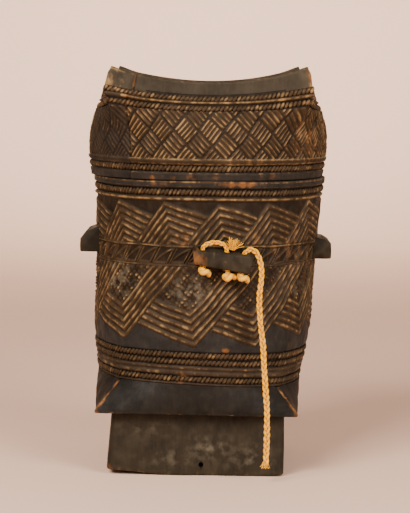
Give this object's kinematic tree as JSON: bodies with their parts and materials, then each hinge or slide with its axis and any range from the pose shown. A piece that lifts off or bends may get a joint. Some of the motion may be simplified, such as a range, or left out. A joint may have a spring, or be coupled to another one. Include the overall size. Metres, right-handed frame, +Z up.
{
  "type": "lidded box",
  "caption": "Carved wooden box with a square foot, a belly that turns round, a push-on lid with a square rim and pierced lugs with cords.",
  "frame": {"origin": "middle of the object's footprint, on the ground; the leaning axis crosses the vertical through it at the lugs", "axes": "+Z up, +X to the viewer's right, -Y towards the viewer (front lug)"},
  "size_m": [0.1566, 0.1566, 0.2496],
  "materials": {
    "vessel_wood": "aged, waxed, carved",
    "lid_wood": "aged, waxed, carved",
    "foot_wood": "aged, smooth, worn",
    "lug_wood": "aged, smooth, worn",
    "cord": "braided raffia"
  },
  "bodies": {
    "vessel_body": {"vessel": "vessel_wood", "foot": "foot_wood", "lug_front": "lug_wood", "lug_right": "lug_wood", "lug_back": "lug_wood", "lug_left": "lug_wood", "cord_loop": "cord", "cord_knot": "cord", "hanging_cord": "cord"},
    "lid_body": {"lid": "lid_wood"}
  },
  "joints": [
    {"name": "lid_lift", "type": "slide", "parent": "vessel_body", "child": "lid_body", "axis": [0, 0, 1], "range_m": [0, 0.06]}
  ]
}
